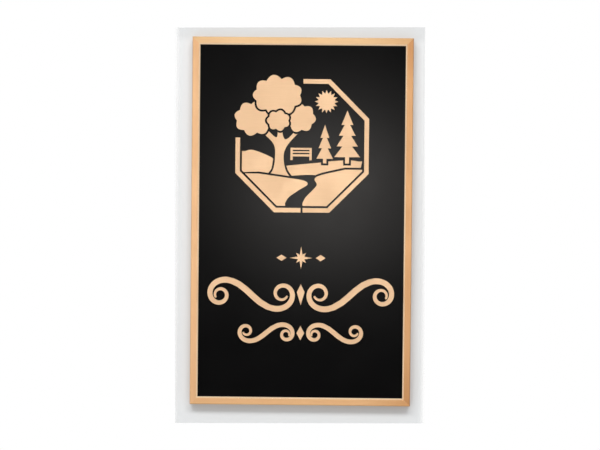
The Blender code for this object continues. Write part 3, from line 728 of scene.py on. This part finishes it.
def smoothed(outline):
    """The outline with its curves in fine steps, and with its corners and straight cuts kept."""
    outline = without_short_steps(outline)
    count = len(outline)
    tangents = [tangent(outline[i - 1], outline[i], outline[(i + 1) % count]) for i in range(count)]
    fine = []
    for i, start in enumerate(outline):
        after = (i + 1) % count
        chord = outline[after] - start
        steps = math.ceil(chord.length / FINE_STEP)
        if chord.length > STRAIGHT or (tangents[i] is None and tangents[after] is None):
            steps = 1
        leaving = (tangents[i] or chord.normalized()) * chord.length
        arriving = (tangents[after] or chord.normalized()) * chord.length
        for j in range(steps):
            t = j / steps
            bend = leaving * (t * (1 - t) ** 2) - arriving * (t * t * (1 - t))
            fine.append(start + chord * (t * t * (3 - 2 * t)) + bend)
    return fine


def filled_sheet(name, outlines):
    """A flat sheet at the front of the sign, cut to its outlines, the holes included."""
    shape = bmesh.new()
    edges = []
    for outline in outlines:
        ring = [shape.verts.new((point.x, FRONT, point.y)) for point in outline]
        edges += [shape.edges.new((ring[i - 1], ring[i])) for i in range(len(ring))]
    if len(outlines) == 1:
        shape.faces.new(ring)
    else:
        bmesh.ops.triangle_fill(shape, edges=edges, use_beauty=True)
        flat = math.radians(1)
        bmesh.ops.dissolve_limit(shape, angle_limit=flat, verts=shape.verts, edges=shape.edges)
    mesh = bpy.data.meshes.new(name)
    shape.to_mesh(mesh)
    shape.free()
    return new_object(name, mesh)


def pin_places(node, tail):
    """Centre and radius of each pin that ends at a depth behind an artwork plate."""
    shape = merged_shape(node)
    tips = {vertex for vertex in shape.verts if vertex.co.y > tail - SAME_POINT}
    places = []
    while tips:
        pin = {tips.pop()}
        grown_by = pin
        while grown_by:
            grown_by = {edge.other_vert(v) for v in grown_by for edge in v.link_edges} & tips
            tips -= grown_by
            pin |= grown_by
        points = [vertex.co for vertex in pin]
        low = Vector(map(min, *points))
        high = Vector(map(max, *points))
        places.append(((low + high) / 2, (high.x - low.x) / 2))
    shape.free()
    return places


def make_pin(place, radius, tail):
    """A round pin that stands out behind a plate."""
    steps = [(PLATE_BACK - PIN_BEDDING, radius)]
    steps += [(tail + from_end, radius * share) for from_end, share in PIN_TIP]
    return stood(turned("pin", steps, PIN_SIDES), (place.x, 0, place.z), (0, -1, 0))


def make_plate(node, sizes):
    """A flat-cut plate with smooth outlines, rounded front edges and round pins behind."""
    outlines = [smoothed(outline) for outline in front_outlines(node)]
    plate = filled_sheet(node + "_plate", outlines)
    with editing(plate, "FACE"):
        bpy.ops.mesh.extrude_region_move(TRANSFORM_OT_translate={"value": (0, PLATE_BACK - FRONT, 0)})
        all_outwards()
    with editing(plate):
        pick(plate, "edges", lambda edge: at_front(edge) and edge.calc_face_angle(0) > PLATE_CORNER)
        bpy.ops.mesh.bevel(offset=sizes.art_round, segments=3, clamp_overlap=False)
    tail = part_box(node)[1].y
    pins = [make_pin(place, radius, tail) for place, radius in pin_places(node, tail)]
    combine(plate, joined(pins), "UNION")
    finish_piece(plate, finish("artwork"), [node])


# Fixings, each made pointing down, with the top of its head at Z = 0

# A thread's usual form: its depth, and the heights at which it turns, as shares of its pitch
THREAD_DEPTH = 0.6134
THREAD_HEIGHTS = (0, 0.25, 0.5625, 0.6875, 1)
THREAD_MERGE = 0.000001
THREAD_CUT = 0.0000001

# Screws: radius, the heights of both heads, and the longer and shorter reach of their eased edge
SCREW_RADIUS = 0.0015
COUNTERSUNK_HEAD = 0.0012
PAN_HEAD = 0.0018
EASE_LONG = 0.00015
EASE_SHORT = 0.0001

# The neck under a countersunk head: its height and its share of the screw's radius
NECK = 0.0004
NECK_SHARE = 0.9

# The domed top of a pan head: depths as shares of its height, with the share of its radius
PAN_DOME = ((0.55, 1), (0.25, 0.93), (0.07, 0.78), (0, 0.5))

# The cross recess: its depth, and what is left of a slot's length and width at the bottom
RECESS_DEPTH = 0.0011
RECESS_TAPER = (0.55, 0.75, 1)

# Wall studs: radius, width of the head across its flats, and height of the head
STUD_RADIUS = 0.003
STUD_FLATS = 0.010
STUD_HEAD = 0.004

# Bevels of a stud: length of the one at its tip, and height and inset of the one on its head
STUD_TIP = 0.001
CROWN_HEIGHT = 0.0008
CROWN_INSET = 0.0003

# How far a shape reaches over or into another that it cuts or joins
OVER = 0.0001

# Sides of a screw head and its thread, of a stud's thread, and of the other round shapes
SCREW_SIDES = 40
SCREW_THREAD_SIDES = 20
STUD_THREAD_SIDES = 32
ROUND_SIDES = 48


def stood(obj, place, direction):
    """Puts a piece made along Z in its place, with its lower end pointing in a direction."""
    turn = Vector((0, 0, -1)).rotation_difference(Vector(direction)).to_matrix().to_4x4()
    obj.data.transform(Matrix.Translation(place) @ turn)
    return obj


def turned(name, steps, sides):
    """A round solid along Z from (height, radius) steps: a disc, extruded and resized step by step."""
    height, radius = steps[0]
    disc = {"vertices": sides, "radius": radius, "fill_type": "NGON", "location": (0, 0, height)}
    obj = primitive(name, bpy.ops.mesh.primitive_circle_add, **disc)
    with editing(obj, "FACE"):
        for next_height, next_radius in steps[1:]:
            rise = (0, 0, next_height - height)
            bpy.ops.mesh.extrude_region_move(TRANSFORM_OT_translate={"value": rise})
            share = next_radius / radius
            bpy.ops.transform.resize(value=(share, share, 1), center_override=(0, 0, next_height))
            height, radius = next_height, next_radius
        all_outwards()
    return obj


def threaded_rod(radius, pitch, bottom, top, sides):
    """A rod along Z with a helical thread of the usual form, cut off square at both ends."""
    root = radius - THREAD_DEPTH * pitch
    start = bottom - pitch
    radii = (root, root, radius, radius, root)
    points = [(reach, 0, start + pitch * share) for reach, share in zip(radii, THREAD_HEIGHTS)]
    mesh = bpy.data.meshes.new("thread")
    mesh.from_pydata(points, [(i, i + 1) for i in range(4)], [])
    rod = new_object("thread", mesh)
    turns = math.ceil((top - start) / pitch) + 1
    merging = {"use_merge_vertices": True, "merge_threshold": THREAD_MERGE}
    helix = {"angle": 2 * math.pi, "screw_offset": pitch, "iterations": turns, **merging}
    apply_modifier(rod, "SCREW", steps=sides, render_steps=sides, **helix)
    with editing(rod):
        bpy.ops.mesh.remove_doubles(threshold=THREAD_MERGE)
        for height, outwards in ((bottom, -1), (top, 1)):
            bpy.ops.mesh.select_all(action="SELECT")
            plane = {"plane_co": (0, 0, height), "plane_no": (0, 0, outwards)}
            bpy.ops.mesh.bisect(**plane, use_fill=True, clear_outer=True, threshold=THREAD_CUT)
        all_outwards()
    return rod


def cut_recess(screw, sizes):
    """Cuts a tapered cross recess into the top of a screw head."""
    for span in ((sizes.recess_span, sizes.recess_slot), (sizes.recess_slot, sizes.recess_span)):
        scale = (*span, 2 * RECESS_DEPTH)
        cutter = primitive("recess", bpy.ops.mesh.primitive_cube_add, scale, size=1)
        with editing(cutter, "FACE"):
            pick(cutter, "faces", lambda face: face.normal.z < -0.5)
            bpy.ops.transform.resize(value=RECESS_TAPER, center_override=(0, 0, -RECESS_DEPTH))
        combine(screw, cutter, "DIFFERENCE")


def threaded_screw(head, length, thread_top, sizes):
    """Gives a screw head its thread and its cross recess."""
    rod = threaded_rod(SCREW_RADIUS, sizes.screw_pitch, -length, thread_top, SCREW_THREAD_SIDES)
    combine(head, rod, "UNION")
    cut_recess(head, sizes)
    return head


def countersunk_screw(length, head_radius, sizes):
    steps = [
        (-COUNTERSUNK_HEAD - NECK, SCREW_RADIUS * NECK_SHARE),
        (-COUNTERSUNK_HEAD, SCREW_RADIUS),
        (-EASE_LONG, head_radius),
        (0, head_radius - EASE_SHORT),
    ]
    head = turned("countersunk_screw", steps, SCREW_SIDES)
    return threaded_screw(head, length, -COUNTERSUNK_HEAD - OVER, sizes)


def pan_screw(name, length, head_radius, sizes):
    steps = [(-PAN_HEAD, head_radius - EASE_LONG), (-PAN_HEAD + EASE_SHORT, head_radius)]
    steps += [(-PAN_HEAD * depth, head_radius * share) for depth, share in PAN_DOME]
    head = turned(name, steps, SCREW_SIDES)
    return threaded_screw(head, length, -PAN_HEAD + OVER, sizes)


def wall_stud(length, sizes):
    """A stud with a hexagon head, bevelled at both ends."""
    to_corner = STUD_FLATS / math.sqrt(3)
    stud = turned("stud", [(-STUD_HEAD, to_corner), (0, to_corner)], 6)
    stud.data.transform(Matrix.Rotation(math.radians(30), 4, "Z"))
    wide = STUD_FLATS * 0.6
    steps = [(-STUD_HEAD - OVER, wide), (-CROWN_HEIGHT, wide), (0, STUD_FLATS * 0.5 - CROWN_INSET)]
    combine(stud, turned("crown", steps, ROUND_SIDES), "INTERSECT")
    bottom = -length - STUD_TIP
    rod = threaded_rod(STUD_RADIUS, sizes.stud_pitch, bottom, -STUD_HEAD + OVER, STUD_THREAD_SIDES)
    wide = STUD_RADIUS + OVER
    steps = [(-length, STUD_RADIUS - STUD_TIP - OVER), (-length + STUD_TIP, wide), (STUD_TIP, wide)]
    combine(rod, turned("outside", steps, ROUND_SIDES), "INTERSECT")
    combine(stud, rod, "UNION")
    return stud


def place_copies(model, direction_of, nodes):
    """Puts a copy of a fixing in the place of each node, pointing the same way."""
    without_specks(model)
    for node in nodes:
        low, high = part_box(node)
        direction = Vector(direction_of(node))
        half = abs((high - low).dot(direction)) / 2
        top = (low + high) / 2 - direction * half
        copy = stood(new_object(node + "_part", model.data.copy()), top, direction)
        finish_piece(copy, finish("steel"), [node])
    bpy.data.objects.remove(model)


def named(start, end=""):
    return [node for node in SLOTS if node.startswith(start) and node.endswith(end)]


def make_back_screws(sizes):
    low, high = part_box("back_screw_left_middle")
    screw = countersunk_screw(high.y - low.y, (high.x - low.x) / 2, sizes)
    place_copies(screw, lambda node: (0, -1, 0), named("back_screw"))


def sideways(node):
    """Direction of a screw that runs out through the left or the right bar."""
    return (-1, 0, 0) if "left" in node else (1, 0, 0)


def endways(node):
    """Direction of a screw that runs out through the top or the bottom bar."""
    return (0, 0, 1) if "top" in node else (0, 0, -1)


def make_inner_screws(sizes):
    for name, direction_of, group in (
        ("side_screw", sideways, named("bracket_screw", "side")),
        ("end_screw", endways, named("bracket_screw", "end")),
        ("rail_screw", sideways, named("rail_screw")),
    ):
        low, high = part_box(group[0])
        size = sorted(high - low)
        place_copies(pan_screw(name, size[2], size[0] / 2, sizes), direction_of, group)


def make_wall_studs(sizes):
    low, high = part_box("wall_stud_upper_left")
    place_copies(wall_stud(high.y - low.y, sizes), lambda node: (0, 1, 0), named("wall_stud"))


# Back cover

# Its holes, for each kind of fixing: radius, and radius and depth of the widened mouth
COVER_HOLES = {"wall_stud": (0.0033, 0.0035, 0.0002), "back_screw": (0.0018, 0.0029, 0.0012)}


def hole_cutter(place, radius, mouth_radius, mouth_depth, thickness):
    """A round cutter for a hole in the back cover, its mouth widened or countersunk."""
    spread = (mouth_radius - radius) / mouth_depth
    over = 0.0005
    steps = [(-over, mouth_radius + spread * over), (mouth_depth, radius), (thickness + over, radius)]
    return stood(turned("hole", steps, ROUND_SIDES), (place.x, 0, place.z), (0, 1, 0))


def make_back_cover(sizes):
    """A sheet with eased edges, four stud holes and six countersunk screw holes."""
    low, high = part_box("back_panel")
    add = bpy.ops.mesh.primitive_cube_add
    cover = primitive("back_cover", add, high - low, size=1, location=(low + high) / 2)
    with editing(cover):
        bpy.ops.mesh.bevel(offset=sizes.cover_round, segments=2, clamp_overlap=False)
    cutters = []
    for fixing, hole in COVER_HOLES.items():
        for node in named(fixing):
            centre = sum(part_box(node), Vector()) / 2
            cutters.append(hole_cutter(centre, *hole, high.y - low.y))
    combine(cover, joined(cutters), "DIFFERENCE")
    finish_piece(cover, finish("aluminium"), ["back_panel"])


# Stage

# The camera, solved from the border's corners, with angles in degrees and lens in mm
CAMERA_PLACE = (0.0190, -2.5030, 0.0303)
CAMERA_ANGLES = (89.143, -0.561, 0.513)
CAMERA_LENS = 72
CAMERA_SENSOR = 36

SOFTBOX_PLACE = (-0.20, -3.57, 3.57)
SOFTBOX_SIZE = (5.8, 1.1)

# The stretch of wall that shows round the sign: its width and height, centre and tilt
WALL_SIZE = (0.522, 0.826)
WALL_CENTRE = (-0.0035, 0.0006, -0.0087)
WALL_TILT = math.radians(-0.56)

# Where the wall fades at its sides, and where it turns greyer at the top of the sign
WALL_FADE = (WALL_SIZE[0] / 2 - 0.010, WALL_SIZE[0] / 2 + 0.005)
WALL_GREYING = (HALF_HEIGHT - 0.012, HALF_HEIGHT + 0.006)

# The floor: its size and place, and the distances over which it fades
FLOOR_SIZE = (60, 60)
FLOOR_PLACE = (0, 0, -1.5)
FLOOR_FADE = (2.0, 5.0)

# Tones of the wall's mottle and top and of the floor's mottle, as shares
WALL_MOTTLE = (0.985, 0.985, 0.985)
WALL_TOP = (0.89, 0.89, 0.89)
FLOOR_MOTTLE = (0.97, 0.97, 0.97)

# Angles off the front of the sign, in degrees, at which each zone of the room fades into the next
ROOM_FADES = ((13, 21), (33, 46), (54, 70), (103, 122))

# Change of the front light to the right and upwards, its limits, and the rear light's upwards
FRONT_LEAN = (-0.75, 0.55)
LEAN_LIMITS = {"Min": 0.6, "Max": 1.4}
REAR_LEAN = 0.5

# Centre and spread of the glow, across and upwards
GLOW_ACROSS = (0.015, 0.046)
GLOW_UP = (0.018, 0.040)


def add_plane(name, size, place, turn, material):
    add = bpy.ops.mesh.primitive_plane_add
    plane = primitive(name, add, (*size, 1), size=1, location=place, rotation=turn)
    coat(plane, material)


def show_through(tree, shader, solid):
    """Leaves the material clear wherever it isn't solid."""
    clear = put(tree, "ShaderNodeBsdfTransparent").outputs[0]
    either = put(tree, "ShaderNodeMixShader", {0: solid, 1: clear, 2: shader.outputs[0]}).outputs[0]
    tree.links.new(either, tree.nodes["Material Output"].inputs["Surface"])


def wall_material(colours):
    """Pale matt wall that only the camera sees, and only from the front, so the back stays lit."""
    material, tree, shader, place = start_material("pale_wall", WALL_PAINT)
    clouds = cloud_mask(tree, place, 6.0)
    paint = blended(tree, clouds, opaque(colours.wall), toned(colours.wall, WALL_MOTTLE))
    x, _, z = split(tree, place)
    paint = blended(tree, ranged(tree, z, *WALL_GREYING), paint, toned(colours.wall, WALL_TOP))
    tree.links.new(paint, shader.inputs["Base Color"])
    seen = put(tree, "ShaderNodeLightPath").outputs["Is Camera Ray"]
    behind = put(tree, "ShaderNodeNewGeometry").outputs["Backfacing"]
    from_middle = maths(tree, "ABSOLUTE", maths(tree, "SUBTRACT", x, WALL_CENTRE[0]))
    solid = times(tree, seen, ranged(tree, from_middle, *WALL_FADE, 1.0, 0.0))
    show_through(tree, shader, times(tree, solid, maths(tree, "SUBTRACT", 1.0, behind)))
    return material


def floor_material(colours):
    """Pale matt floor with a faint mottle, which fades into the white room far away."""
    material, tree, shader, place = start_material("pale_floor", FLOOR_PAINT)
    clouds = cloud_mask(tree, place, 3.0)
    paint = blended(tree, clouds, opaque(colours.floor), toned(colours.floor, FLOOR_MOTTLE))
    tree.links.new(paint, shader.inputs["Base Color"])
    distance = measured(tree, "LENGTH", place)
    show_through(tree, shader, ranged(tree, distance, *FLOOR_FADE, 1.0, 0.0))
    return material


def bell(tree, value, centre, spread):
    """1 where a value has its centre, and less to both sides, as a bell curve."""
    steps = maths(tree, "DIVIDE", maths(tree, "SUBTRACT", value, centre), spread)
    return maths(tree, "EXPONENT", times(tree, maths(tree, "POWER", steps, 2.0), -0.5))


def make_room(studio):
    """A room that the camera sees as plain white, and that lights the sign by zones."""
    world = bpy.data.worlds.new("white_room")
    bpy.context.scene.world = world
    world.use_nodes = True
    tree = world.node_tree
    direction = put(tree, "ShaderNodeTexCoord").outputs["Generated"]
    x, y, z = split(tree, direction)
    off_axis = maths(tree, "DEGREES", maths(tree, "ARCCOSINE", times(tree, y, -1.0)))
    in_ring, in_room, at_sides, in_rear = [ranged(tree, off_axis, *fade) for fade in ROOM_FADES]
    changes = (in_ring, studio.ring - studio.shade), (in_room, studio.room - studio.ring)
    front = weighed(tree, studio.shade, *changes)
    lean = weighed(tree, 1.0, *zip((x, z), FRONT_LEAN))
    lean = put(tree, "ShaderNodeClamp", {"Value": lean, **LEAN_LIMITS}).outputs[0]
    light = between(tree, at_sides, times(tree, front, lean), studio.sides)
    rear = times(tree, weighed(tree, 1.0, (z, REAR_LEAN)), studio.rear)
    light = between(tree, in_rear, light, rear)
    glow = times(tree, bell(tree, x, *GLOW_ACROSS), bell(tree, z, *GLOW_UP))
    glow = times(tree, glow, maths(tree, "LESS_THAN", y, 0.0))
    light = maths(tree, "ADD", light, times(tree, glow, studio.glow))
    rays = put(tree, "ShaderNodeLightPath").outputs
    on_matt = weighed(tree, 1.0, (rays["Is Diffuse Ray"], studio.fill - 1.0))
    strength = between(tree, rays["Is Camera Ray"], times(tree, light, on_matt), 1.0)
    background = tree.nodes["Background"]
    background.inputs["Color"].default_value = (1.0, 1.0, 1.0, 1.0)
    tree.links.new(strength, background.inputs["Strength"])


def add_softbox(power):
    """A wide softbox aimed at the middle of the sign, which no gloss mirrors."""
    light = bpy.data.lights.new("softbox", "AREA")
    light.shape = "RECTANGLE"
    light.size, light.size_y = SOFTBOX_SIZE
    light.energy = power
    lamp = new_object("softbox", light)
    lamp.location = SOFTBOX_PLACE
    lamp.visible_glossy = False
    lamp.rotation_euler = (-Vector(SOFTBOX_PLACE)).to_track_quat("-Z", "Y").to_euler()


def add_camera():
    camera = bpy.data.cameras.new("camera")
    camera.lens = CAMERA_LENS
    camera.sensor_width = CAMERA_SENSOR
    holder = new_object("camera", camera)
    holder.location = CAMERA_PLACE
    holder.rotation_euler = [math.radians(angle) for angle in CAMERA_ANGLES]
    bpy.context.scene.camera = holder


def make_stage(studio, colours):
    upright = (math.pi / 2, WALL_TILT, 0)
    add_plane("wall", WALL_SIZE, WALL_CENTRE, upright, wall_material(colours))
    add_plane("floor", FLOOR_SIZE, FLOOR_PLACE, (0, 0, 0), floor_material(colours))
    make_room(studio)
    add_softbox(studio.key)
    add_camera()
    bpy.context.scene.view_settings.view_transform = "Standard"


# Operators and panel


class SIGN_OT_frame_bars(bpy.types.Operator):
    """Dress the four mitred frame bars"""

    bl_idname = "park_sign.frame_bars"
    bl_label = "Frame bars"

    def execute(self, context):
        make_frame_bars(context.scene.park_sign_sizes)
        return {"FINISHED"}


class SIGN_OT_face_panel(bpy.types.Operator):
    """Coat the face panel satin black"""

    bl_idname = "park_sign.face_panel"
    bl_label = "Face panel"

    def execute(self, context):
        coat(NODES["face_panel"], finish("black"))
        return {"FINISHED"}


class SIGN_OT_artwork(bpy.types.Operator):
    """Cut the bronze artwork plates and their pins"""

    bl_idname = "park_sign.artwork"
    bl_label = "Artwork"

    def execute(self, context):
        for node in ARTWORK:
            make_plate(node, context.scene.park_sign_sizes)
        return {"FINISHED"}


class SIGN_OT_back_cover(bpy.types.Operator):
    """Make the back cover with its holes"""

    bl_idname = "park_sign.back_cover"
    bl_label = "Back cover"

    def execute(self, context):
        make_back_cover(context.scene.park_sign_sizes)
        return {"FINISHED"}


class SIGN_OT_fixings(bpy.types.Operator):
    """Make the wall studs and every screw"""

    bl_idname = "park_sign.fixings"
    bl_label = "Fixings"

    def execute(self, context):
        sizes = context.scene.park_sign_sizes
        make_back_screws(sizes)
        make_inner_screws(sizes)
        make_wall_studs(sizes)
        return {"FINISHED"}


class SIGN_OT_inner_parts(bpy.types.Operator):
    """Finish the corner brackets and the mounting rails"""

    bl_idname = "park_sign.inner_parts"
    bl_label = "Brackets and rails"

    def execute(self, context):
        for node in named("corner_bracket"):
            coat(NODES[node], finish("aluminium"))
        for node in named("mounting_rail"):
            coat(NODES[node], finish("steel"))
        return {"FINISHED"}


class SIGN_OT_stage(bpy.types.Operator):
    """Set up the wall, the floor, the lights and the camera"""

    bl_idname = "park_sign.stage"
    bl_label = "Stage"

    def execute(self, context):
        make_stage(context.scene.park_sign_studio, context.scene.park_sign_colours)
        return {"FINISHED"}


OPERATORS = (
    SIGN_OT_frame_bars,
    SIGN_OT_face_panel,
    SIGN_OT_artwork,
    SIGN_OT_back_cover,
    SIGN_OT_fixings,
    SIGN_OT_inner_parts,
    SIGN_OT_stage,
)

SETTINGS = {
    "park_sign_sizes": SignSizes,
    "park_sign_colours": SignColours,
    "park_sign_studio": SignStudio,
}


class SIGN_PT_panel(bpy.types.Panel):
    """Sizes, colours and steps of the sign"""

    bl_idname = "SIGN_PT_panel"
    bl_label = "Park sign"
    bl_space_type = "VIEW_3D"
    bl_region_type = "UI"
    bl_category = "Park sign"

    def draw(self, context):
        for settings, kind in SETTINGS.items():
            column = self.layout.column(align=True)
            for name in kind.__annotations__:
                column.prop(getattr(context.scene, settings), name)
        for operator in OPERATORS:
            self.layout.operator(operator.bl_idname)


def register():
    for name, settings in SETTINGS.items():
        bpy.utils.register_class(settings)
        setattr(bpy.types.Scene, name, bpy.props.PointerProperty(type=settings))
    for shown in (*OPERATORS, SIGN_PT_panel):
        bpy.utils.register_class(shown)


def unregister():
    for shown in (SIGN_PT_panel, *OPERATORS):
        bpy.utils.unregister_class(shown)
    for name, settings in SETTINGS.items():
        delattr(bpy.types.Scene, name)
        bpy.utils.unregister_class(settings)


def main():
    register()
    bpy.ops.park_sign.frame_bars()
    bpy.ops.park_sign.face_panel()
    bpy.ops.park_sign.artwork()
    bpy.ops.park_sign.back_cover()
    bpy.ops.park_sign.fixings()
    bpy.ops.park_sign.inner_parts()
    bpy.ops.park_sign.stage()


if __name__ == "__main__":
    main()
